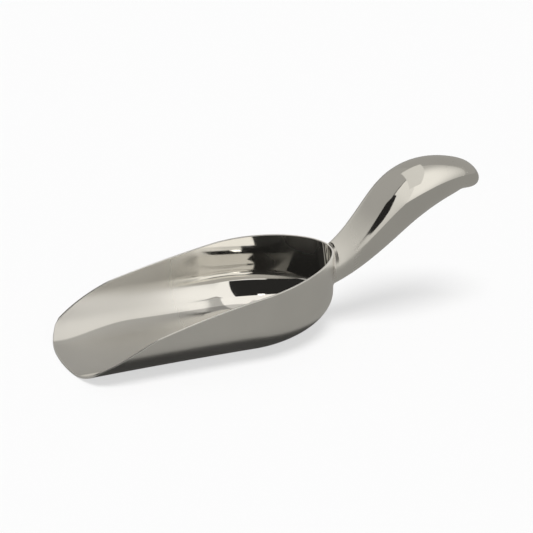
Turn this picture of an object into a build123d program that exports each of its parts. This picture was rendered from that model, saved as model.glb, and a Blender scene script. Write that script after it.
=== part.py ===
from build123d import *

import os
from math import acos, cos, degrees, pi, sin

# Ice scoop: a pressed sheet bowl with a hollow handle welded to its back.
#
# Millimetres, +Z up.  The scoop stands on the flat floor of its bowl.  The lip points along -X,
# the handle runs out along +X, and the scoop is symmetric about the XZ plane.
# The origin is under the middle of the overall length, at floor level.

# ---------------------------------------------------------------- driving dimensions
OVERALL_LENGTH = 231.0

# Bowl, outside
BOWL_LENGTH = 148.0
TROUGH_LENGTH = 96.0          # the open front stretch, up to where the egg-shaped end begins
HALF_WIDTH = 37.0             # at the end of the trough
MOUTH_FLARE = 3.0             # how much further out each side stands at the lip
CORNER_RUN_SIDE = 24.0        # how far the rounded bottom corner reaches inwards at the sides
CORNER_RUN_BACK = 31.0        # and at the back end
CORNER_HEIGHT = 20.0          # where the corner turns into the upright wall
END_FULLNESS = 0.48           # handle lengths of the back end's plan curve, 0.55 is an ellipse
BOWL_SHEET = 1.2
BLANK_HEIGHT = 50.0           # wall height before the rim is trimmed
TRIM_ALLOWANCE = 5.0          # sheet in front of the lip before it is trimmed
CORNER_LEVELS = 7

# Rim, seen from the side, measured from the lip: two curves that join smoothly at the shoulder
RIM_START = (0.0, 2.3)
RIM_START_PULL = (9.7, 8.1)
RIM_SHOULDER_PULL_FRONT = (33.0, 21.3)
RIM_SHOULDER = (40.1, 23.3)
RIM_SHOULDER_PULL_BACK = (78.2, 34.0)
RIM_BACK_PULL = (110.0, 39.2)
RIM_BACK = (148.0, 41.8)

# Lip, seen from above: a blunt nose, one half as (x from the lip, y)
NOSE_FRONT_PULL = (0.0, 23.0)
NOSE_SIDE_PULL = (8.0, 39.3)
NOSE_SIDE = (20.0, 39.3)

# Handle: centre line from the lip (x, z) and vertical radius, as three joined cubic curves
HANDLE_COURSE = [
    (147.7, 30.8, 9.4),
    (162.0, 37.3, 9.9),
    (172.8, 50.8, 12.6),
    (183.2, 61.1, 14.0),
    (193.6, 71.4, 15.4),
    (208.2, 72.4, 12.2),
    (217.4, 72.2, 9.1),
    (223.2, 72.1, 7.1),
    (230.0, 66.0, 5.5),
    (230.0, 66.0, 0.0),
]
HANDLE_WIDTH_RATIO = 1.05     # sideways radius over vertical radius
HANDLE_WALL = 1.0
ROOT_OVERRUN = 0.25           # how far the first curve is run on into the bowl before trimming
SECTIONS_PER_CURVE = 5
TIP_STATIONS = (0.0, 0.2, 0.4, 0.6, 0.8, 0.93)
HEADING_STEP = 0.001

# Welds: the seam's is ground flush, the root's is a low bead
SEAM_WIDTH = 1.0
ROOT_GAP = 1.0                # the shells stop this far from the bowl, and the root weld fills it
BEAD_RISE = 0.5               # how far the root weld stands proud of the handle

# ---------------------------------------------------------------- values worked out from them
LIP_X = -OVERALL_LENGTH / 2
TROUGH_END_X = LIP_X + TROUGH_LENGTH
END_RUN = BOWL_LENGTH - TROUGH_LENGTH
OUTSIDE_Y = 2 * HALF_WIDTH     # well outside the bowl's sides


def point_on_curve(controls, t):
    """A point on the cubic Bezier curve of four control points, in any number of dimensions."""
    weights = ((1 - t) ** 3, 3 * t * (1 - t) ** 2, 3 * t**2 * (1 - t), t**3)
    return tuple(
        sum(weight * control[axis] for weight, control in zip(weights, controls))
        for axis in range(len(controls[0]))
    )


# ---------------------------------------------------------------- bowl
def bowl_level(height, half_width, end_run):
    """One level through the bowl: a tongue with flared sides and an egg-shaped end."""
    start_x = LIP_X - TRIM_ALLOWANCE
    flare = MOUTH_FLARE * ((TROUGH_END_X - start_x) / TROUGH_LENGTH) ** 2
    end_x = TROUGH_END_X + end_run
    with BuildSketch(Plane.XY.offset(height)) as level:
        with BuildLine():
            Line((start_x, 0), (start_x, half_width + flare))
            Bezier(
                (start_x, half_width + flare),
                ((start_x + TROUGH_END_X) / 2, half_width),
                (TROUGH_END_X, half_width),
            )
            Bezier(
                (TROUGH_END_X, half_width),
                (TROUGH_END_X + END_FULLNESS * end_run, half_width),
                (end_x, END_FULLNESS * half_width),
                (end_x, 0),
            )
            mirror(about=Plane.XZ)
        make_face()
    return level.sketch


def bowl_form(inset):
    """The bowl's form as a plain solid, with its sides and floor moved in by inset."""
    levels = []
    for step in range(CORNER_LEVELS):
        angle = pi / 2 * step / (CORNER_LEVELS - 1)
        height = CORNER_HEIGHT - (CORNER_HEIGHT - inset) * cos(angle)
        half_width = HALF_WIDTH - CORNER_RUN_SIDE + (CORNER_RUN_SIDE - inset) * sin(angle)
        end_run = END_RUN - CORNER_RUN_BACK + (CORNER_RUN_BACK - inset) * sin(angle)
        levels.append(bowl_level(height, half_width, end_run))
    with BuildPart() as form:
        loft(levels)
        extrude(levels[-1], amount=BLANK_HEIGHT - CORNER_HEIGHT)
    return form.part


def from_lip(point):
    """The model's place for a point whose first number is measured from the lip."""
    return (LIP_X + point[0], point[1])


def above_rim():
    """Everything above the rim's side profile, as a sketch on the symmetry plane."""
    front = from_lip(RIM_START)
    shoulder = from_lip(RIM_SHOULDER)
    back = from_lip(RIM_BACK)
    before_lip = front[0] - 2 * TRIM_ALLOWANCE
    past_back = back[0] + TRIM_ALLOWANCE
    top = BLANK_HEIGHT + TRIM_ALLOWANCE
    with BuildSketch(Plane.XZ) as region:
        with BuildLine():
            Bezier(front, from_lip(RIM_START_PULL), from_lip(RIM_SHOULDER_PULL_FRONT), shoulder)
            Bezier(shoulder, from_lip(RIM_SHOULDER_PULL_BACK), from_lip(RIM_BACK_PULL), back)
            Line(back, (past_back, back[1]))
            Line((past_back, back[1]), (past_back, top))
            Line((past_back, top), (before_lip, top))
            Line((before_lip, top), (before_lip, front[1]))
            Line((before_lip, front[1]), front)
        make_face()
    return region.sketch


bowl_solid = bowl_form(0.0)
bowl_with_gap = bowl_form(-ROOT_GAP)

with BuildPart() as bowl:
    add(bowl_solid)
    add(bowl_form(BOWL_SHEET), mode=Mode.SUBTRACT)
    extrude(above_rim(), amount=BOWL_LENGTH, both=True, mode=Mode.SUBTRACT)
    # The lip is trimmed to a blunt nose.
    with BuildSketch(Plane.XY.offset(-TRIM_ALLOWANCE)):
        with BuildLine():
            before_lip = LIP_X - 2 * TRIM_ALLOWANCE
            side = from_lip(NOSE_SIDE)
            Bezier((LIP_X, 0), from_lip(NOSE_FRONT_PULL), from_lip(NOSE_SIDE_PULL), side)
            Line(side, (side[0], OUTSIDE_Y))
            Line((side[0], OUTSIDE_Y), (before_lip, OUTSIDE_Y))
            Line((before_lip, OUTSIDE_Y), (before_lip, 0))
            mirror(about=Plane.XZ)
        make_face()
    extrude(amount=CORNER_HEIGHT + TRIM_ALLOWANCE, mode=Mode.SUBTRACT)
bowl.part.label = "bowl"


# ---------------------------------------------------------------- hollow handle
def handle_stations(inset, least_radius):
    """Centre, heading and vertical radius where the inset section is large enough."""
    root, grip, tip = (HANDLE_COURSE[first : first + 4] for first in (0, 3, 6))
    places = [(root, -ROOT_OVERRUN)]
    for controls in (root, grip):
        for step in range(SECTIONS_PER_CURVE):
            places.append((controls, step / SECTIONS_PER_CURVE))
    for t in TIP_STATIONS:
        places.append((tip, t))
    stations = []
    for controls, t in places:
        x, z, radius = point_on_curve(controls, t)
        behind = point_on_curve(controls, t - HEADING_STEP)
        ahead = point_on_curve(controls, t + HEADING_STEP)
        heading = Vector(ahead[0] - behind[0], 0, ahead[1] - behind[1]).normalized()
        if radius - inset > least_radius:
            stations.append((Vector(LIP_X + x, 0, z), heading, radius))
    return stations


def handle_half(inset, seam_y):
    """The left half of the handle's form beyond seam_y, with its surface moved in by inset."""
    sections = []
    for centre, heading, radius in handle_stations(inset, 2 * seam_y + inset / 2):
        half_width = radius * HANDLE_WIDTH_RATIO - inset
        half_height = radius - inset
        half_angle = degrees(acos(seam_y / half_width))
        with BuildSketch(Plane(origin=centre, x_dir=(0, 1, 0), z_dir=heading)) as section:
            with BuildLine():
                arc = EllipticalCenterArc(
                    (0, 0), half_width, half_height, -half_angle, arc_size=2 * half_angle
                )
                Line(arc @ 1, arc @ 0)
            make_face()
        sections.append(section.sketch)
    with BuildPart() as form:
        loft(sections)
    return form.part


def handle_side_view(inset):
    """The handle's outline on the seam plane, with its edge moved in by inset."""
    above = []
    below = []
    for centre, heading, radius in handle_stations(inset, inset / 2):
        across = Vector(-heading.Z, 0, heading.X) * (radius - inset)
        above.append(centre + across)
        below.insert(0, centre - across)
    tip = [] if inset else [Vector(LIP_X + HANDLE_COURSE[-1][0], 0, HANDLE_COURSE[-1][1])]
    corners = [(point.X, point.Z) for point in above + tip + below]
    with BuildSketch(Plane.XZ) as outline:
        with BuildLine():
            Spline(*corners)
            Line(corners[-1], corners[0])
        make_face()
    return outline.sketch


left_form = handle_half(0.0, SEAM_WIDTH / 2)
hollow_half = handle_half(HANDLE_WALL, 0.0)

with BuildPart() as handle_shell_left:
    add(left_form)
    add(hollow_half, mode=Mode.SUBTRACT)
    add(bowl_with_gap, mode=Mode.SUBTRACT)
handle_shell_left.part.label = "handle_shell_left"

with BuildPart() as handle_shell_right:
    mirror(handle_shell_left.part, about=Plane.XZ)
handle_shell_right.part.label = "handle_shell_right"

with BuildPart() as handle_seam_weld:
    extrude(handle_side_view(0.0), amount=SEAM_WIDTH / 2, both=True)
    extrude(handle_side_view(HANDLE_WALL), amount=SEAM_WIDTH, both=True, mode=Mode.SUBTRACT)
    add(bowl_with_gap, mode=Mode.SUBTRACT)
handle_seam_weld.part.label = "handle_seam_weld"

# ---------------------------------------------------------------- weld round the handle's root
with BuildPart() as bead_half:
    add(handle_half(-BEAD_RISE, 0.0))
    add(hollow_half, mode=Mode.SUBTRACT)
    add(bowl_with_gap, mode=Mode.INTERSECT)
    add(bowl_solid, mode=Mode.SUBTRACT)

with BuildPart() as handle_root_weld:
    add(bead_half.part)
    mirror(bead_half.part, about=Plane.XZ)
handle_root_weld.part.label = "handle_root_weld"


# ---------------------------------------------------------------- files
os.makedirs("parts", exist_ok=True)
export_step(bowl.part, "parts/bowl.step")
export_step(handle_shell_left.part, "parts/handle_shell_left.step")
export_step(handle_shell_right.part, "parts/handle_shell_right.step")
export_step(handle_seam_weld.part, "parts/handle_seam_weld.step")
export_step(handle_root_weld.part, "parts/handle_root_weld.step")
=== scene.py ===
"""Looks of the ice scoop: polished and satin sheet steel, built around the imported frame.

Metres, in the frame's own axes: the lip points along -X, the handle runs out along +X, +Z is up.
"""

from math import cos, pi, radians, sin

import bpy
import numpy as np
from mathutils import Matrix, Vector


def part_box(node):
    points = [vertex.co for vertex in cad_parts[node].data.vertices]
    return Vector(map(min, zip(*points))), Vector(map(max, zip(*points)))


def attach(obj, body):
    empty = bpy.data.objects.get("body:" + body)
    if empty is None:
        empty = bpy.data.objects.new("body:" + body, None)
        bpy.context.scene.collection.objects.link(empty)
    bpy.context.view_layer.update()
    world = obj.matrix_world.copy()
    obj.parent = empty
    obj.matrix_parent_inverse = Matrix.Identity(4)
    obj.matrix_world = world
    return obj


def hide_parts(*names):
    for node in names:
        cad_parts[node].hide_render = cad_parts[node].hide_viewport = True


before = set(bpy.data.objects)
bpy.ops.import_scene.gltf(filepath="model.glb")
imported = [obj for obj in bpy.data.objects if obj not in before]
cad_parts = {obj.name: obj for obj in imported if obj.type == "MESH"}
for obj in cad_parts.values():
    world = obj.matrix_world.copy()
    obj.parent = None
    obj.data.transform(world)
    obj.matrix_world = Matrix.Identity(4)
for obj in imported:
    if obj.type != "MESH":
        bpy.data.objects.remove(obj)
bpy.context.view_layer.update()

MM = 0.001

# ---------------------------------------------------------------- places taken from the frame
bowl_low, bowl_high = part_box("bowl")
LIP_X = bowl_low.x
BOWL_LENGTH = bowl_high.x - bowl_low.x

# ---------------------------------------------------------------- driving dimensions
# Bowl, outside
TROUGH_LENGTH = 96 * MM
TROUGH_END_X = LIP_X + TROUGH_LENGTH
END_RUN = BOWL_LENGTH - TROUGH_LENGTH
HALF_WIDTH = 37 * MM
MOUTH_FLARE = 3 * MM
CORNER_RUN_SIDE = 24 * MM
CORNER_RUN_BACK = 31 * MM
CORNER_HEIGHT = 20 * MM
END_FULLNESS = 0.48
BOWL_SHEET = 1.2 * MM
EDGE_ROUND = 0.3 * MM

# Rim from the side, and lip from above, in millimetres from the lip
RIM_CURVES = (
    ((0, 2.3), (9.7, 8.1), (33.0, 21.3), (40.1, 23.3)),
    ((40.1, 23.3), (78.2, 34.0), (110.0, 39.2), (148.0, 41.8)),
)
NOSE_CURVE = ((0, 0), (0, 23.0), (8.0, 39.3), (20.0, 39.3))

# Handle: x from the lip, z and vertical radius in millimetres, as three joined curves
HANDLE_CURVES = (
    ((147.7, 30.8, 9.4), (162.0, 37.3, 9.9), (172.8, 50.8, 12.6), (183.2, 61.1, 14.0)),
    ((183.2, 61.1, 14.0), (193.6, 71.4, 15.4), (208.2, 72.4, 12.2), (217.4, 72.2, 9.1)),
    ((217.4, 72.2, 9.1), (223.2, 72.1, 7.1), (230.0, 66.0, 5.5), (230.0, 66.0, 0.0)),
)
HANDLE_WIDTH_RATIO = 1.05
HANDLE_WALL = 1.0 * MM
SEAM_WIDTH = 1.0 * MM
COURSE_BLEND = 0.3

# The stretch of the handle's course, which counts its curves, where it leaves the bowl's wall
ROOT_RANGE = (-0.3, 0.6)

# Weld at the handle's root: its reach, the handle's length per unit of its course there,
# how steeply the bowl's wall is met at the sides, and how far the weld's back is sunk
ROOT_WELD = 1.5 * MM
ROOT_SPEED = 47 * MM
WALL_SLANT = 0.85
SINK = 0.05 * MM

# The rounded edge's section is |u|^3 + |v|^3 = 1, squarer than a circle
EDGE_POWER = 3

# How finely the surfaces are divided
CURVE_SAMPLES = 600
ROWS_TROUGH = 150
ROWS_END = 110
FLOOR_COLUMNS = 16
CORNER_COLUMNS = 36
WALL_COLUMNS = 24
EDGE_STEPS = 8
HANDLE_ROWS = 260
HANDLE_COLUMNS = 72
SEAM_COLUMNS = 8
TIP_ROWS = 6
ROOT_STEPS = 120
FILLET_STEPS = 8
BLEND_SAMPLES = 13
WALL_SAMPLES = 800

# Small steps for slopes, and amounts too small to matter
STEP = 1e-4
HAIR = 1e-9
TINY = 1e-12

# How often a place is halved in on, and how often the lip's is worked out again
HALVINGS = 50
LIP_ROUNDS = 30


# ---------------------------------------------------------------- curves
def cubic(controls, t):
    """Points of a cubic Bezier curve at an array of t, with one coordinate in the last axis."""
    t = np.asarray(t, float)[..., None]
    a, b, c, d = (np.asarray(point, float) for point in controls)
    return a * (1 - t) ** 3 + 3 * b * t * (1 - t) ** 2 + 3 * c * t**2 * (1 - t) + d * t**3


def sampled(curves):
    """Joined curves as one list of points, in metres."""
    t = np.linspace(0, 1, CURVE_SAMPLES)
    return np.concatenate([cubic(curve, t) for curve in curves]) * MM


rim_points = sampled(RIM_CURVES)
nose_points = sampled((NOSE_CURVE,))


def rim_height(x):
    """The rim's height at x."""
    return np.interp(x - LIP_X, rim_points[:, 0], rim_points[:, 1])


def normalised(vectors):
    """Vectors made one unit long along the last axis."""
    length = np.linalg.norm(vectors, axis=-1, keepdims=True)
    return vectors / np.maximum(length, TINY)


# ---------------------------------------------------------------- the bowl's skins
def plan_half(reach, inset, x):
    """Half width at x of the level whose corner has gone out by reach (0 floor to 1 wall)."""
    half_width = HALF_WIDTH - CORNER_RUN_SIDE + (CORNER_RUN_SIDE - inset) * reach
    flare = MOUTH_FLARE * (np.maximum(TROUGH_END_X - x, 0) / TROUGH_LENGTH) ** 2
    return half_width + flare


def plan_end(reach, inset, t):
    """The back end of that level as points (x, y), t running from the side round to the middle."""
    half_width = HALF_WIDTH - CORNER_RUN_SIDE + (CORNER_RUN_SIDE - inset) * reach
    run = END_RUN - CORNER_RUN_BACK + (CORNER_RUN_BACK - inset) * reach
    x = 3 * END_FULLNESS * run * t * (1 - t) ** 2 + 3 * run * t**2 * (1 - t) + run * t**3
    y = half_width * ((1 - t) ** 3 + 3 * t * (1 - t) ** 2 + 3 * END_FULLNESS * t**2 * (1 - t))
    return TROUGH_END_X + x, y


def skin_point(column, along, rise, inset):
    """A point of the half skin.

    column is the corner angle's share, 0 at the floor's edge and 1 at the wall's foot.
    along is x from the lip over the trough's length while below 1, and from 1 to 2 the end's t.
    rise is the height above the corner's top, on the wall only.
    """
    reach = np.sin(column * pi / 2)
    z = CORNER_HEIGHT - (CORNER_HEIGHT - inset) * np.cos(column * pi / 2) + rise
    trough_x = LIP_X + along * TROUGH_LENGTH
    trough_y = plan_half(reach, inset, trough_x)
    end_x, end_y = plan_end(reach, inset, np.clip(along - 1, 0, 1))
    in_trough = along < 1
    x = np.where(in_trough, trough_x, end_x)
    y = np.where(in_trough, trough_y, end_y)
    return np.stack([x, y, z], axis=-1)


def skin_normal(column, along, rise, inset):
    """The skin's outward unit normals, from small steps along and across it."""
    column_low = np.clip(column - STEP, 0, 1)
    column_high = np.clip(column + STEP, 0, 1)
    along_low = np.where(along >= 1, np.maximum(along - STEP, 1), along - STEP)
    along_high = np.where(along < 1, np.minimum(along + STEP, 1 - HAIR), np.minimum(along + STEP, 2))
    across = skin_point(column_high, along, rise, inset) - skin_point(column_low, along, rise, inset)
    across = np.where(rise[..., None] > 0, np.array([0.0, 0.0, 1.0]), across)
    lengthwise = skin_point(column, along_high, rise, inset) - skin_point(column, along_low, rise, inset)
    return normalised(np.cross(across, lengthwise))


def trimmed_curves():
    """The rim and lip curves drawn in by the rounded edge, as samples."""
    rim_heading = normalised(np.gradient(rim_points, axis=0))
    rim = rim_points + EDGE_ROUND * np.stack([rim_heading[:, 1], -rim_heading[:, 0]], axis=-1)
    nose_heading = normalised(np.gradient(nose_points, axis=0))
    nose = nose_points + EDGE_ROUND * np.stack([nose_heading[:, 1], -nose_heading[:, 0]], axis=-1)
    return rim, nose


rim_trim, nose_trim = trimmed_curves()


def start_along(column_y, column_z):
    """Where along the trough each column begins: at the lip or at the sloping rim.

    The lip's place depends on y and y on the place, so it is found by going round a few times.
    """
    at_rim = np.interp(column_z, rim_trim[:, 1], rim_trim[:, 0], left=0.0)
    at_nose = np.interp(column_y(at_rim), nose_trim[:, 1], nose_trim[:, 0])
    for _ in range(LIP_ROUNDS):
        at_nose = np.interp(column_y(at_nose), nose_trim[:, 1], nose_trim[:, 0])
    return np.maximum(at_rim, at_nose) / TROUGH_LENGTH


def bowl_skin(inset):
    """One skin of the half bowl: floor and corner grid, wall grid and the edge, each with normals."""
    # Floor columns run from the middle line out to the corner, then corner columns up to the wall
    shares = np.linspace(0, 1, FLOOR_COLUMNS + 1)[:-1]
    corners = np.linspace(0, 1, CORNER_COLUMNS + 1)
    rows = np.concatenate([
        np.linspace(0, 1, ROWS_TROUGH + 1)[:-1],
        1 + np.linspace(0, 1, ROWS_END + 1),
    ])
    pole = np.array([TROUGH_END_X, 0.0, 0.0])

    def floor_y(share):
        return lambda at: share * plan_half(0.0, inset, LIP_X + at)

    def corner_y(column):
        return lambda at: plan_half(np.sin(column * pi / 2), inset, LIP_X + at)

    points = []
    normals = []
    for share in shares:
        start = start_along(floor_y(share), np.float64(inset))
        along = np.where(rows < 1, start + rows * (1 - start), rows)
        edge = skin_point(np.zeros_like(along), along, np.zeros_like(along), inset)
        in_trough = rows < 1
        x = np.where(in_trough, edge[:, 0], pole[0] + share * (edge[:, 0] - pole[0]))
        points.append(np.stack([x, share * edge[:, 1], edge[:, 2]], axis=-1))
        normals.append(np.tile([0.0, 0.0, -1.0], (len(rows), 1)))
    corner_height = CORNER_HEIGHT - (CORNER_HEIGHT - inset) * np.cos(corners * pi / 2)
    for column, height in zip(corners, corner_height):
        start = start_along(corner_y(column), height)
        along = np.where(rows < 1, start + rows * (1 - start), rows)
        level = np.full_like(along, column)
        none = np.zeros_like(along)
        points.append(skin_point(level, along, none, inset))
        normals.append(skin_normal(level, along, none, inset))
        last_along = along
    base = np.stack(points, axis=1)
    base_normals = np.stack(normals, axis=1)

    # Wall: from the last corner column up to the rim
    top = np.interp(base[:, -1, 0] - LIP_X, rim_trim[:, 0], rim_trim[:, 1]) - CORNER_HEIGHT
    top[0] = 0.0
    rises = np.linspace(0, 1, WALL_COLUMNS + 1)[:, None] * np.maximum(top, 0)[None, :]
    wall = np.stack([
        skin_point(np.ones_like(last_along), last_along, rise, inset) for rise in rises
    ], axis=1)
    wall_normals = np.stack([base_normals[:, -1]] * (WALL_COLUMNS + 1), axis=1)
    edge_points = np.concatenate([base[0, :-1], wall[:, -1]])
    edge_normals = np.concatenate([base_normals[0, :-1], wall_normals[:, -1]])
    return base, base_normals, wall, wall_normals, edge_points, edge_normals


# ---------------------------------------------------------------- meshes
MERGE = 1e-7          # points nearer than this, in metres, are one point


class Shape:
    """Points, normals and faces gathered into one mesh with material numbers."""

    def __init__(self):
        self.points = []
        self.normals = []
        self.faces = []
        self.kinds = []
        self.count = 0

    def grid(self, points, normals, kind, flip=False):
        """Adds a grid of quads; points that share a place with others may have zero normals."""
        rows, columns = points.shape[:2]
        first = self.count + np.arange(rows * columns).reshape(rows, columns)
        corners = [first[:-1, :-1], first[1:, :-1], first[1:, 1:], first[:-1, 1:]]
        if flip:
            corners.reverse()
        quads = np.stack(corners, axis=-1).reshape(-1, 4)
        self.points.append(points.reshape(-1, 3))
        self.normals.append(normals.reshape(-1, 3))
        self.faces.append(quads)
        self.kinds.append(np.full(len(quads), kind))
        self.count += rows * columns

    def mirrored(self):
        """Adds the same again on the other side of the XZ plane."""
        flip = np.array([1.0, -1.0, 1.0])
        points = np.concatenate(self.points)
        normals = np.concatenate(self.normals)
        faces = np.concatenate(self.faces)
        kinds = np.concatenate(self.kinds)
        self.points = [points, points * flip]
        self.normals = [normals, normals * flip]
        self.faces = [faces, faces[:, ::-1] + self.count]
        self.kinds = [kinds, kinds]
        self.count *= 2

    def build(self, name, materials):
        """Joins coincident points and makes the object, with its normals as given."""
        points = np.concatenate(self.points)
        normals = np.concatenate(self.normals)
        faces = np.concatenate(self.faces)
        kinds = np.concatenate(self.kinds)
        keys = np.round(points / MERGE).astype(np.int64)
        _, firsts, places = np.unique(keys, axis=0, return_index=True, return_inverse=True)
        places = places.reshape(-1)
        joined = np.zeros((len(firsts), 3))
        np.add.at(joined, places, normals)
        joined = normalised(joined)
        polygons = []
        slots = []
        for quad, kind in zip(places[faces], kinds):
            ring = [int(v) for i, v in enumerate(quad) if v != quad[i - 1]]
            if len(set(ring)) > 2:
                polygons.append(ring)
                slots.append(int(kind))
        mesh = bpy.data.meshes.new(name)
        mesh.from_pydata(points[firsts].tolist(), [], polygons)
        for material in materials:
            mesh.materials.append(material)
        mesh.polygons.foreach_set("material_index", slots)
        mesh.polygons.foreach_set("use_smooth", [True] * len(polygons))
        mesh.update()
        mesh.normals_split_custom_set_from_vertices(joined.tolist())
        made = bpy.data.objects.new(name, mesh)
        bpy.context.collection.objects.link(made)
        return made


def rounded_strip(outer, inner, outer_normals, inner_normals, away):
    """The narrow edge between two skins, bulging by the edge's rounding, with its normals."""
    share = np.linspace(0, 1, EDGE_STEPS + 1)
    bulge = (1 - np.abs(2 * share - 1) ** EDGE_POWER) ** (1 / EDGE_POWER)
    points = np.stack([
        outer + (inner - outer) * s + away * (EDGE_ROUND * b) for s, b in zip(share, bulge)
    ], axis=1)
    across = np.gradient(points, axis=1)
    along = np.gradient(points, axis=0)
    normals = normalised(np.cross(along, across))
    facing = np.sum(normals * away[:, None, :], axis=-1, keepdims=True)
    normals = np.where(facing < 0, -normals, normals)
    normals[:, 0] = outer_normals
    normals[:, -1] = inner_normals
    return points, normals


def bowl_object(materials):
    """The whole bowl: outer skin 0, inner skin 1 and rounded edge 2 in its material numbers."""
    shape = Shape()
    outer = bowl_skin(0.0)
    inner = bowl_skin(BOWL_SHEET)
    for skin, kind, side in ((outer, 0, 1), (inner, 1, -1)):
        base, base_normals, wall, wall_normals = skin[:4]
        shape.grid(base, base_normals * side, kind, flip=side > 0)
        shape.grid(wall, wall_normals * side, kind, flip=side > 0)
    outer_edge, outer_normals = outer[4:]
    inner_edge, inner_normals = inner[4:]
    middle = (outer_edge + inner_edge) / 2
    run = normalised(np.gradient(middle, axis=0))
    away = normalised(np.cross(run, normalised(inner_edge - outer_edge)))
    outwards = np.sum(away * np.array([-1.0, 0.0, 1.0]), axis=-1, keepdims=True)
    away = np.where(outwards < 0, -away, away)
    # At both ends the edge lies in the plane of symmetry
    away[[0, -1], 1] = 0.0
    points, normals = rounded_strip(outer_edge, inner_edge, outer_normals, -inner_normals, away)
    shape.grid(points, normals, 2, flip=True)
    shape.mirrored()
    return shape.build("bowl_steel_sheet", materials)


# ---------------------------------------------------------------- handle
def drawn_course(g):
    """Centre (x, z) and vertical radius at g, which runs 0 to 3 over the three curves."""
    g = np.asarray(g, float)
    which = np.clip(np.floor(g), 0, 2).astype(int)
    t = g - which
    places = np.stack([cubic(curve, t) for curve in HANDLE_CURVES])
    place = np.take_along_axis(places, which[None, ..., None], axis=0)[0]
    return place * MM


def handle_course(g):
    """The same with the joints between the curves blended, so that reflections run on over them."""
    g = np.asarray(g, float)
    window = COURSE_BLEND * np.clip((3 - g) / (2 * COURSE_BLEND), 0, 1)
    shares = np.linspace(-1, 1, BLEND_SAMPLES)
    weights = (1 - shares**2) ** 2
    total = 0
    for share, weight in zip(shares, weights):
        total = total + weight * drawn_course(g + share * window)
    return total / sum(weights)


def tube_point(g, angle, inset):
    """A point of the handle's surface, with angle 0 on top and a quarter turn at +Y."""
    g = np.asarray(g, float)
    place = handle_course(g)
    g_low = np.minimum(g, 3 - STEP) - STEP
    heading = normalised(handle_course(g_low + 2 * STEP)[..., :2] - handle_course(g_low)[..., :2])
    radius = np.maximum(place[..., 2] - inset, 0)
    lift = radius * np.cos(angle)
    x = LIP_X + place[..., 0] - lift * heading[..., 1]
    z = place[..., 1] + lift * heading[..., 0]
    y = HANDLE_WIDTH_RATIO * radius * np.sin(angle)
    return np.stack([x, y, z], axis=-1)


def tube_normal(g, angle, inset, end):
    """Outward normals of that surface, from small steps."""
    g = np.minimum(g, end - 4 * STEP)
    lengthwise = tube_point(g + STEP, angle, inset) - tube_point(g - STEP, angle, inset)
    around = tube_point(g, angle + STEP, inset) - tube_point(g, angle - STEP, inset)
    return normalised(np.cross(lengthwise, around))


wall_plan_x, wall_plan_y = plan_end(1.0, 0.0, np.linspace(0, 1, WALL_SAMPLES))


def wall_x(y):
    """How far along X the bowl's outside wall lies at y, near its back."""
    return np.interp(np.abs(y), wall_plan_y[::-1], wall_plan_x[::-1])


def solve(function, low, high):
    """The place between low and high where an increasing function crosses zero."""
    for _ in range(HALVINGS):
        middle = (low + high) / 2
        above = function(middle) > 0
        high = np.where(above, middle, high)
        low = np.where(above, low, middle)
    return (low + high) / 2


def root_start(angle, inset):
    """Where along the handle each angle leaves the bowl's wall."""

    def beyond(g):
        point = tube_point(g, angle, inset)
        return point[..., 0] - wall_x(point[..., 1])

    first, last = ROOT_RANGE
    return solve(beyond, np.full_like(angle, first), np.full_like(angle, last))


def radius_place(radius):
    """Where on the last curve the vertical radius has shrunk to the given value."""
    return float(solve(lambda g: radius - handle_course(g)[..., 2], np.float64(2.0), np.float64(3.0)))


def seam_angle(g, inset):
    """Half angle of the seam weld's strip at g."""
    half_width = HANDLE_WIDTH_RATIO * np.maximum(handle_course(g)[..., 2] - inset, HAIR)
    return np.arcsin(np.clip(SEAM_WIDTH / 2 / half_width, 0, 1))


def handle_sheet(inset, strip=None):
    """A grid over part of the handle.

    Without strip, its columns run from the top seam round the +Y side to the bottom seam.
    With strip, they run across the seam weld about the angle in strip, and its rows to the tip.
    """
    end = radius_place(inset + SEAM_WIDTH / 2 / HANDLE_WIDTH_RATIO)
    apex = radius_place(inset) if inset else 3.0
    if strip is None:
        columns = np.linspace(0, 1, HANDLE_COLUMNS + 1)
    else:
        columns = np.linspace(-1, 1, SEAM_COLUMNS + 1)

    def angle_at(share, seam):
        if strip is None:
            return seam + share * (pi - 2 * seam)
        return strip + share * seam

    start = root_start(angle_at(columns, seam_angle(0.0, inset)), inset)
    rows = np.linspace(0, 1, HANDLE_ROWS + 1)[:, None]
    g = start[None, :] + (end - start[None, :]) * rows
    if strip is not None:
        tip = end + (apex - end) * np.linspace(0, 1, TIP_ROWS + 1)[1:, None]
        g = np.concatenate([g, np.broadcast_to(tip, (TIP_ROWS, len(columns)))])
    angle = angle_at(columns[None, :], seam_angle(g, inset))
    points = tube_point(g, angle, inset)
    return points, tube_normal(g, angle, inset, apex)


def add_sheets(shape, strip=None):
    """Adds the outside 0 and inside 1 of part of the handle, closed at its root and sides."""
    outer = handle_sheet(0.0, strip)
    inner = handle_sheet(HANDLE_WALL, strip)
    shape.grid(*outer, 0)
    shape.grid(inner[0], -inner[1], 1, flip=True)
    root_edge = np.stack([inner[0][0], outer[0][0]], axis=0)
    shape.grid(root_edge, np.zeros_like(root_edge), 1)
    for column, flip in ((0, False), (-1, True)):
        outer_side = outer[0][:HANDLE_ROWS + 1, column]
        inner_side = inner[0][:HANDLE_ROWS + 1, column]
        side = np.stack([inner_side, outer_side], axis=1)
        shape.grid(side, np.zeros_like(side), 1, flip=flip)


def handle_shell(name, side, materials):
    """One half shell of the handle, on the +Y side for 1 and on the -Y side for -1."""
    shape = Shape()
    add_sheets(shape)
    if side < 0:
        flip = np.array([1.0, -1.0, 1.0])
        shape.points = [points * flip for points in shape.points]
        shape.normals = [normals * flip for normals in shape.normals]
        shape.faces = [faces[:, ::-1] for faces in shape.faces]
    return shape.build(name, materials)


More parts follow.
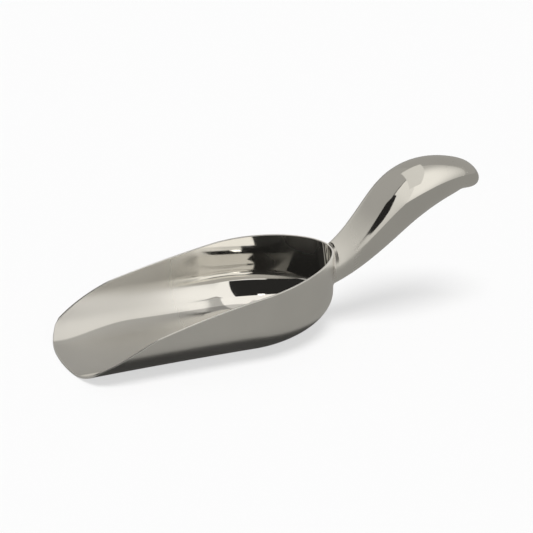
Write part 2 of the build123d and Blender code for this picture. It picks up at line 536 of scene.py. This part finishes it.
def seam_weld(name, materials):
    """The weld between the shells, ground flush, over the top, round the tip and back below."""
    shape = Shape()
    for strip in (0.0, pi):
        add_sheets(shape, strip)
    return shape.build(name, materials)


def root_weld(name, materials):
    """The dressed fillet of weld round the handle's root."""
    angle = np.linspace(0, 2 * pi, ROOT_STEPS + 1)
    start = root_start(angle, 0.0)
    corner = tube_point(start, angle, 0.0)
    on_handle = tube_point(start + ROOT_WELD / ROOT_SPEED, angle, 0.0)
    on_wall = corner + ROOT_WELD * np.stack(
        [np.zeros_like(angle), WALL_SLANT * np.sin(angle), np.cos(angle)], axis=-1
    )
    on_wall[:, 2] = np.minimum(on_wall[:, 2], rim_height(on_wall[:, 0]) - EDGE_ROUND)
    on_wall[:, 0] = wall_x(on_wall[:, 1])
    share = np.linspace(0, 1, FILLET_STEPS + 1)[:, None, None]
    fillet = on_handle * (1 - share) ** 2 + 2 * corner * share * (1 - share) + on_wall * share**2
    normals = np.cross(np.gradient(fillet, axis=0), np.gradient(fillet, axis=1))
    shape = Shape()
    shape.grid(fillet, normalised(normals) * -1, 0, flip=True)
    back = np.stack([on_handle, corner - np.array([SINK, 0, 0]), on_wall])
    shape.grid(back, np.zeros_like(back), 0)
    return shape.build(name, materials)


# ---------------------------------------------------------------- materials
def math_node(tree, operation, *values):
    """A math node's output; each of its values is a number or another node's output."""
    made = tree.nodes.new("ShaderNodeMath")
    made.operation = operation
    for place, value in enumerate(values):
        if isinstance(value, (int, float)):
            made.inputs[place].default_value = value
        else:
            tree.links.new(value, made.inputs[place])
    return made.outputs[0]


def smooth_step(tree, value, low, high, to_low=0.0, to_high=1.0):
    """A soft ramp of a node's output between two of its values."""
    made = tree.nodes.new("ShaderNodeMapRange")
    made.interpolation_type = "SMOOTHSTEP"
    made.inputs["From Min"].default_value = low
    made.inputs["From Max"].default_value = high
    made.inputs["To Min"].default_value = to_low
    made.inputs["To Max"].default_value = to_high
    tree.links.new(value, made.inputs["Value"])
    return made.outputs["Result"]


def noise(tree, vector, scale, detail):
    """A noise node's value over a position scaled by three numbers."""
    stretch = tree.nodes.new("ShaderNodeMapping")
    stretch.inputs["Scale"].default_value = scale
    tree.links.new(vector, stretch.inputs["Vector"])
    made = tree.nodes.new("ShaderNodeTexNoise")
    made.inputs["Scale"].default_value = 1.0
    made.inputs["Detail"].default_value = detail
    tree.links.new(stretch.outputs["Vector"], made.inputs["Vector"])
    return made.outputs["Fac"]


# Values between which a noise node's output mostly lies
NOISE_LOW = 0.3
NOISE_HIGH = 0.7

# Faint patches of the steel: how many to the metre, and the tone of the darkest
PATCH_SCALE = (35, 35, 35)
PATCH_TONE = 0.965

# How much finer detail each noise has
PATCH_DETAIL = 2.0
GRAIN_DETAIL = 4.0
WAVE_DETAIL = 1.0

# Painted reflection: the bowl's floor is painted darker, standing in for the grey it reflects, up to a
# height that grows from the lip back over a stretch
PAINTED_REFLECTION_X = (LIP_X + 6 * MM, LIP_X + 48 * MM)
PAINTED_REFLECTION_Z = (1.5 * MM, 4.2 * MM)
PAINTED_REFLECTION_EDGE = 0.4 * MM


def steel(name, colour, roughness, variation, grain, waves, rougher=None, painted_floor_reflection=None):
    """Bare steel.

    variation is how far the roughness strays along the streaks of the grain.
    grain is the rubbing: its bump in metres and its streaks' scale along each axis.
    waves is the slow unevenness of the sheet in the same form.
    rougher is (roughness, x where it is full, x where it has gone) for a less polished end.
    The last argument is the tone of the bowl's flat floor: a painted reflection, darker for the grey it
    mirrors.
    """
    material = bpy.data.materials.new(name)
    material.use_nodes = True
    tree = material.node_tree
    shader = tree.nodes["Principled BSDF"]
    shader.inputs["Metallic"].default_value = 1.0
    place = tree.nodes.new("ShaderNodeTexCoord").outputs["Object"]
    parts = tree.nodes.new("ShaderNodeSeparateXYZ")
    tree.links.new(place, parts.inputs[0])
    grain_bump, grain_scale = grain
    wave_bump, wave_scale = waves
    streaks = noise(tree, place, grain_scale, GRAIN_DETAIL)

    # Colour: slightly lighter and darker patches, and on the bowl's floor a painted reflection, a darker
    # tone
    patches = noise(tree, place, PATCH_SCALE, PATCH_DETAIL)
    tone = smooth_step(tree, patches, NOISE_LOW, NOISE_HIGH, PATCH_TONE, 1.0)
    # Painted reflection: the base colour is darkened on the bowl's floor up to a height
    if painted_floor_reflection:
        top = smooth_step(tree, parts.outputs["X"], *PAINTED_REFLECTION_X, *PAINTED_REFLECTION_Z)
        above = math_node(tree, "SUBTRACT", parts.outputs["Z"], top)
        painted_reflection_share = smooth_step(tree, above, 0.0, PAINTED_REFLECTION_EDGE, painted_floor_reflection, 1.0)
        tone = math_node(tree, "MULTIPLY", tone, painted_reflection_share)
    toned = tree.nodes.new("ShaderNodeVectorMath")
    toned.operation = "SCALE"
    toned.inputs[0].default_value = colour
    tree.links.new(tone, toned.inputs["Scale"])
    tree.links.new(toned.outputs["Vector"], shader.inputs["Base Color"])

    # Roughness: streaky
    level = smooth_step(
        tree, streaks, NOISE_LOW, NOISE_HIGH, roughness - variation, roughness + variation
    )
    if rougher:
        most, full_x, gone_x = rougher
        extra = smooth_step(tree, parts.outputs["X"], full_x, gone_x, most - roughness, 0.0)
        level = math_node(tree, "ADD", level, extra)
    tree.links.new(level, shader.inputs["Roughness"])

    # Bump: slow waves of the sheet under the grain
    swell = tree.nodes.new("ShaderNodeBump")
    swell.inputs["Distance"].default_value = wave_bump
    tree.links.new(noise(tree, place, wave_scale, WAVE_DETAIL), swell.inputs["Height"])
    bump = tree.nodes.new("ShaderNodeBump")
    bump.inputs["Distance"].default_value = grain_bump
    tree.links.new(streaks, bump.inputs["Height"])
    tree.links.new(swell.outputs["Normal"], bump.inputs["Normal"])
    tree.links.new(bump.outputs["Normal"], shader.inputs["Normal"])
    return material


satin = steel(
    "bowl_satin_outside", colour=(0.76, 0.745, 0.705), roughness=0.33, variation=0.04,
    grain=(2e-6, (1500, 6000, 60)), waves=(3e-5, (60, 60, 60)),
)
# The inside's floor carries a painted reflection: its tone is painted darker
mirror = steel(
    "bowl_mirror_inside", colour=(0.955, 0.94, 0.90), roughness=0.045, variation=0.012,
    grain=(6e-7, (2500, 250, 90)), waves=(5e-5, (55, 55, 55)),
    rougher=(0.42, LIP_X + 52 * MM, LIP_X + 100 * MM), painted_floor_reflection=0.60,
)
edge = steel(
    "bowl_edge", colour=(0.92, 0.905, 0.87), roughness=0.32, variation=0.04,
    grain=(5e-7, (900, 900, 900)), waves=(0, (60, 60, 60)),
)
polish = steel(
    "handle_polish", colour=(0.76, 0.745, 0.70), roughness=0.07, variation=0.02,
    grain=(3e-7, (400, 3500, 400)), waves=(4e-5, (50, 50, 50)), rougher=(0.34, 36 * MM, 56 * MM),
)
hidden = steel(
    "handle_inside", colour=(0.55, 0.53, 0.50), roughness=0.5, variation=0.05,
    grain=(1e-6, (900, 900, 900)), waves=(0, (60, 60, 60)),
)
weld = steel(
    "weld_dressed", colour=(0.74, 0.72, 0.68), roughness=0.24, variation=0.05,
    grain=(3e-6, (1200, 1200, 1200)), waves=(2e-5, (300, 300, 300)),
)

# ---------------------------------------------------------------- pieces
bowl = bowl_object([satin, mirror, edge])
left = handle_shell("handle_left_shell", 1, [polish, hidden])
right = handle_shell("handle_right_shell", -1, [polish, hidden])
seam = seam_weld("handle_seam_strip", [polish, hidden])
root = root_weld("handle_root_fillet", [weld])

for piece, node_name, slot_name in (
    (bowl, "bowl", "bowl_steel"),
    (left, "handle_shell_left", "handle_steel"),
    (right, "handle_shell_right", "handle_steel"),
    (seam, "handle_seam_weld", "weld_steel"),
    (root, "handle_root_weld", "weld_steel"),
):
    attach(piece, "root")
    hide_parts(node_name)


# ---------------------------------------------------------------- camera
AZIMUTH = radians(-22.008)
ELEVATION = radians(24.499)
ROLL = radians(0.687)
AIM = Vector((LIP_X + 112.0 * MM, 0.0, 35.65 * MM))
DISTANCE = 1.531
PIXELS_PER_METRE = 1939.6
IMAGE_SIZE = 533
SENSOR = 36.0


def make_camera():
    """A long lens at the photograph's viewing angle, with no shift and no depth of field."""
    back = Vector((
        sin(AZIMUTH) * cos(ELEVATION),
        -cos(AZIMUTH) * cos(ELEVATION),
        sin(ELEVATION),
    ))
    level = Vector((cos(AZIMUTH), sin(AZIMUTH), 0))
    upright = back.cross(level)
    right_hand = level * cos(ROLL) + upright * sin(ROLL)
    up = back.cross(right_hand)
    data = bpy.data.cameras.new("camera")
    data.sensor_width = SENSOR
    data.lens = SENSOR * PIXELS_PER_METRE * DISTANCE / IMAGE_SIZE
    data.clip_start = 0.05
    data.clip_end = 50
    camera = bpy.data.objects.new("camera", data)
    bpy.context.collection.objects.link(camera)
    turn = Matrix((right_hand, up, back)).transposed().to_4x4()
    camera.matrix_world = Matrix.Translation(AIM + back * DISTANCE) @ turn
    bpy.context.scene.camera = camera


make_camera()


# ---------------------------------------------------------------- floor and light
# The floor: how far it reaches, its own light, its colour for the light that falls on it,
# and its tone and colour as the steel sees it
FLOOR_REACH = 6.0
FLOOR_OWN = 0.62
FLOOR_MATT = 0.28
FLOOR_IN_STEEL = 0.34
FLOOR_COLOUR_IN_STEEL = (1.0, 0.98, 0.925, 1)

# Light on the floor: even light from all round, and a wide sun from overhead
EVEN_STRENGTH = 0.35
SUN_STRENGTH = 0.95
SUN_ANGLE = radians(30)
SUN_HEADING = Vector((0.0, 0.23, -1.0))

# Soft lights as the steel sees them: azimuth, elevation, half-angles of full and of no light,
# strength, over a grey base
STUDIO_TONE = (1.0, 0.975, 0.925, 1)
STUDIO_BASE = 0.40
STUDIO_LIGHTS = (
    (-22, 24.5, 83, 85, 0.14),
    (12, 38, 18, 60, 0.52),
)
# The dark flag as the steel sees it, the same way
STUDIO_FLAG = (-46, 17, 11, 13, 0.95)


def towards(azimuth, elevation):
    """The unit vector towards an azimuth, 0 along -Y and 90 along +X, and an elevation, in degrees."""
    a, e = radians(azimuth), radians(elevation)
    return Vector((sin(a) * cos(e), -cos(a) * cos(e), sin(e)))


def plane_object(name, corners, material):
    """A flat stage object from its corners."""
    mesh = bpy.data.meshes.new(name)
    mesh.from_pydata(corners, [], [tuple(range(len(corners)))])
    mesh.materials.append(material)
    made = bpy.data.objects.new(name, mesh)
    bpy.context.collection.objects.link(made)
    return made


def emission(tree, colour, strength):
    """An emission node."""
    made = tree.nodes.new("ShaderNodeEmission")
    made.inputs["Color"].default_value = colour
    made.inputs["Strength"].default_value = strength
    return made


def seen_in_steel(tree, seen_directly, seen_reflected, output):
    """Shows one shader in the steel's reflections and another otherwise."""
    path = tree.nodes.new("ShaderNodeLightPath")
    mix = tree.nodes.new("ShaderNodeMixShader")
    tree.links.new(path.outputs["Is Glossy Ray"], mix.inputs["Fac"])
    tree.links.new(seen_directly, mix.inputs[1])
    tree.links.new(seen_reflected, mix.inputs[2])
    tree.links.new(mix.outputs["Shader"], output.inputs["Surface"])


def make_floor():
    """A plain pale floor that is partly its own light, so that its shadows stay soft and faint."""
    material = bpy.data.materials.new("floor")
    material.use_nodes = True
    tree = material.node_tree
    tree.nodes.clear()
    matt = tree.nodes.new("ShaderNodeBsdfDiffuse")
    matt.inputs["Color"].default_value = (FLOOR_MATT, FLOOR_MATT, FLOOR_MATT, 1)
    own = emission(tree, (1, 1, 1, 1), FLOOR_OWN)
    both = tree.nodes.new("ShaderNodeAddShader")
    tree.links.new(matt.outputs["BSDF"], both.inputs[0])
    tree.links.new(own.outputs["Emission"], both.inputs[1])
    in_steel = emission(tree, FLOOR_COLOUR_IN_STEEL, FLOOR_IN_STEEL)
    output = tree.nodes.new("ShaderNodeOutputMaterial")
    seen_in_steel(tree, both.outputs["Shader"], in_steel.outputs["Emission"], output)
    r = FLOOR_REACH
    plane_object("floor", [(-r, -r, 0), (r, -r, 0), (r, r, 0), (-r, r, 0)], material)


def make_sun():
    """Soft light from overhead, a little from the front, for the shadow under the handle."""
    data = bpy.data.lights.new("overhead", "SUN")
    data.energy = SUN_STRENGTH * pi
    data.angle = SUN_ANGLE
    sun = bpy.data.objects.new("overhead", data)
    sun.rotation_mode = "QUATERNION"
    sun.rotation_quaternion = SUN_HEADING.to_track_quat("-Z", "Y")
    sun.visible_glossy = False
    bpy.context.collection.objects.link(sun)


def make_world():
    """Even white light on the floor; in the steel, soft lights, a grey surround and a dark flag."""
    world = bpy.data.worlds.new("studio")
    world.use_nodes = True
    tree = world.node_tree
    even = tree.nodes["Background"]
    even.inputs["Color"].default_value = (1, 1, 1, 1)
    even.inputs["Strength"].default_value = EVEN_STRENGTH
    place = tree.nodes.new("ShaderNodeTexCoord")

    def lobe(azimuth, elevation, full, none):
        dot = tree.nodes.new("ShaderNodeVectorMath")
        dot.operation = "DOT_PRODUCT"
        tree.links.new(place.outputs["Generated"], dot.inputs[0])
        dot.inputs[1].default_value = towards(azimuth, elevation)
        return smooth_step(tree, dot.outputs["Value"], cos(radians(none)), cos(radians(full)))

    level = STUDIO_BASE
    for *shape, strength in STUDIO_LIGHTS:
        amount = math_node(tree, "MULTIPLY", lobe(*shape), strength)
        level = math_node(tree, "ADD", level, amount)
    *shape, strength = STUDIO_FLAG
    kept = math_node(tree, "MULTIPLY_ADD", lobe(*shape), -strength, 1.0)
    level = math_node(tree, "MULTIPLY", level, kept)
    seen = tree.nodes.new("ShaderNodeBackground")
    seen.inputs["Color"].default_value = STUDIO_TONE
    tree.links.new(level, seen.inputs["Strength"])
    seen_in_steel(
        tree, even.outputs["Background"], seen.outputs["Background"], tree.nodes["World Output"]
    )
    bpy.context.scene.world = world


make_floor()
make_sun()
make_world()


# ---------------------------------------------------------------- studio cards
# Level cards hang at two heights: large ones high up, small ones just above the scoop
FLAG_HEIGHT = 0.6
LAMP_HEIGHT = 0.59
PANEL_HEIGHT = 0.16
CARD_REACH = 1.6

# Upright screens between the bowl and the handle, each with a tone that changes with height
SCREEN_X = 0.0335
SCREEN_FOOT = 0.034
SCREEN_TOP = 0.598
FADE_START = 0.04
LENS_X = 0.038
DARK = 0.02

# Shade on the floor under the bowl: its front corner, its size against the bowl's plan, and how
# much further it reaches on the near side at the lip
SHADE_FRONT = (LIP_X + 0.006, 0.025)
SHADE_SHARE = 0.93
SHADE_REACH = 0.022
SHADE_HEIGHT = 0.0002
SHADE_STEPS = 24
SHADE_TONE = 0.03


def card(name, corners, strength, fade=None):
    """A studio card that shows in the steel and nowhere else.

    Its tone is strength, or with fade, (tone at the foot, height where strength is reached).
    """
    material = bpy.data.materials.new(name)
    material.use_nodes = True
    tree = material.node_tree
    tree.nodes.clear()
    light = emission(tree, STUDIO_TONE, strength)
    if fade:
        foot, top = fade
        place = tree.nodes.new("ShaderNodeTexCoord")
        parts = tree.nodes.new("ShaderNodeSeparateXYZ")
        tree.links.new(place.outputs["Object"], parts.inputs[0])
        ramp = smooth_step(tree, parts.outputs["Z"], FADE_START, top, foot, strength)
        tree.links.new(ramp, light.inputs["Strength"])
    output = tree.nodes.new("ShaderNodeOutputMaterial")
    tree.links.new(light.outputs["Emission"], output.inputs["Surface"])
    made = plane_object(name, corners, material)
    made.visible_camera = False
    made.visible_diffuse = False
    made.visible_shadow = False
    made.visible_transmission = False


def level_card(name, outline, height, strength):
    """A level card at a height, from its outline as (x, y) corners."""
    card(name, [(x, y, height) for x, y in outline], strength)


def level_box_card(name, x_range, y_range, height, strength):
    """A level card with sides along the axes."""
    (x_low, x_high), (y_low, y_high) = x_range, y_range
    outline = [(x_low, y_low), (x_high, y_low), (x_high, y_high), (x_low, y_high)]
    level_card(name, outline, height, strength)


def upright_card(name, x, y_range, z_range, strength, fade=None):
    """A card across the object's length at x."""
    (y_low, y_high), (z_low, z_high) = y_range, z_range
    corners = [(x, y_low, z_low), (x, y_high, z_low), (x, y_high, z_high), (x, y_low, z_high)]
    card(name, corners, strength, fade)


def shade_outline():
    """The outline of the shade under the bowl, reaching further out on the near side."""
    end_x, end_y = plan_end(SHADE_SHARE, 0.0, np.linspace(0, 1, SHADE_STEPS))
    far_side = [SHADE_FRONT] + [(float(x), float(y)) for x, y in zip(end_x, end_y)]
    near_side = [
        (x, -y - SHADE_REACH * (1 - (x - LIP_X) / BOWL_LENGTH)) for x, y in far_side[-2::-1]
    ]
    return far_side + near_side


# Dark flags round the left
level_box_card("flag_front", (-CARD_REACH, SCREEN_X), (-CARD_REACH, -0.12), FLAG_HEIGHT, DARK)
level_box_card("flag_back", (-CARD_REACH, -0.17), (-0.12, 0.9), FLAG_HEIGHT, DARK)
upright_card("flag_left", -CARD_REACH, (-CARD_REACH, 0.9), (0.0, FLAG_HEIGHT), DARK)

# What the handle sees to its left
screen_z = (SCREEN_FOOT, SCREEN_TOP)
upright_card("screen_front", SCREEN_X, (-CARD_REACH, -0.0345), screen_z, 0.90, fade=(0.70, 0.13))
upright_card("screen_line", SCREEN_X, (-0.0345, -0.031), screen_z, 0.06)
upright_card("screen_back", SCREEN_X, (-0.031, 1.0), screen_z, 0.43, fade=(0.75, 0.075))
card(
    "screen_lens",
    [(LENS_X, y, z) for y, z in (
        (-0.024, 0.054), (-0.040, 0.052), (-0.050, 0.060), (-0.050, 0.072),
        (-0.045, 0.085), (-0.041, 0.098), (-0.032, 0.098), (-0.023, 0.080),
    )],
    DARK,
)

# What the bowl's inside and the handle's crest see above them
level_card(
    "panel_above",
    [(-0.080, -0.020), (0.028, -0.020), (0.026, 0.073), (0.007, 0.041), (-0.009, 0.013),
     (-0.022, 0.040), (-0.027, 0.105), (-0.029, 0.150), (-0.024, 0.224), (-0.014, 0.323),
     (-0.080, 0.323)],
    PANEL_HEIGHT,
    0.92,
)
level_box_card("panel_lip", (0.035, 0.165), (-0.45, 0.15), FLAG_HEIGHT, 2.2)
level_box_card("panel_tail", (0.045, 0.095), (-0.12, 0.04), PANEL_HEIGHT, 0.78)
level_box_card("panel_right", (-0.012, 0.031), (0.2, 0.42), PANEL_HEIGHT, 0.22)
level_card(
    "flag_right",
    [(0.016, 0.062), (0.024, 0.074), (0.031, 0.074), (0.031, 0.2), (0.02, 0.2)],
    PANEL_HEIGHT,
    DARK,
)
level_card(
    "lamp", [(-0.17, -0.17), (-0.13, -0.18), (-0.11, -0.13), (-0.16, -0.12)], LAMP_HEIGHT, 3.0
)
level_card("shade_under", shade_outline(), SHADE_HEIGHT, SHADE_TONE)

bpy.context.scene.view_settings.view_transform = "Standard"
